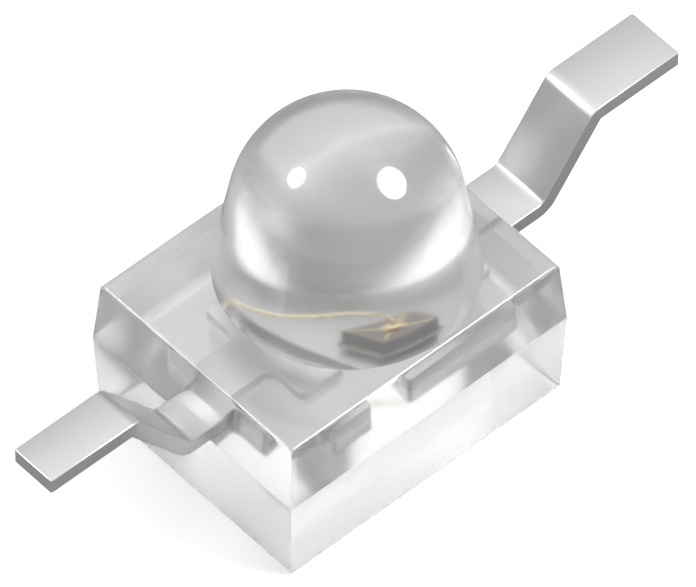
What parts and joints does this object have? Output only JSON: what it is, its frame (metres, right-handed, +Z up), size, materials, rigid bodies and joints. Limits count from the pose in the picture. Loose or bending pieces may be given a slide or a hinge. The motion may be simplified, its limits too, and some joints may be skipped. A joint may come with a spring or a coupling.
{
  "type": "surface-mount led",
  "caption": "Clear surface-mount light source: a rectangular epoxy block with a tall dome lens, and Z-bent flat leads whose raised feet are soldered to a board that the dome passes through.",
  "frame": {"origin": "where the dome's axis meets the flat base of the block, which is the bottom centre of the part's box", "axes": "+Z up along the dome's axis, +X along the leads towards the wide lead that carries the chip, +Y across the leads"},
  "size_m": [0.0056, 0.002, 0.0027],
  "materials": {
    "clear_epoxy": "clear, polished, water white",
    "plated_lead": "satin, silver-plated",
    "silver_paste": "matt, silver-filled adhesive",
    "chip": "dark grey, sawn sides and polished top",
    "gold": "bright gold"
  },
  "bodies": {
    "root": {"lens_body": "clear_epoxy", "die_lead": "plated_lead", "wire_lead": "plated_lead", "die_paste": "silver_paste", "led_chip": "chip", "top_electrode": "gold", "bond_wire": "gold"}
  },
  "joints": []
}
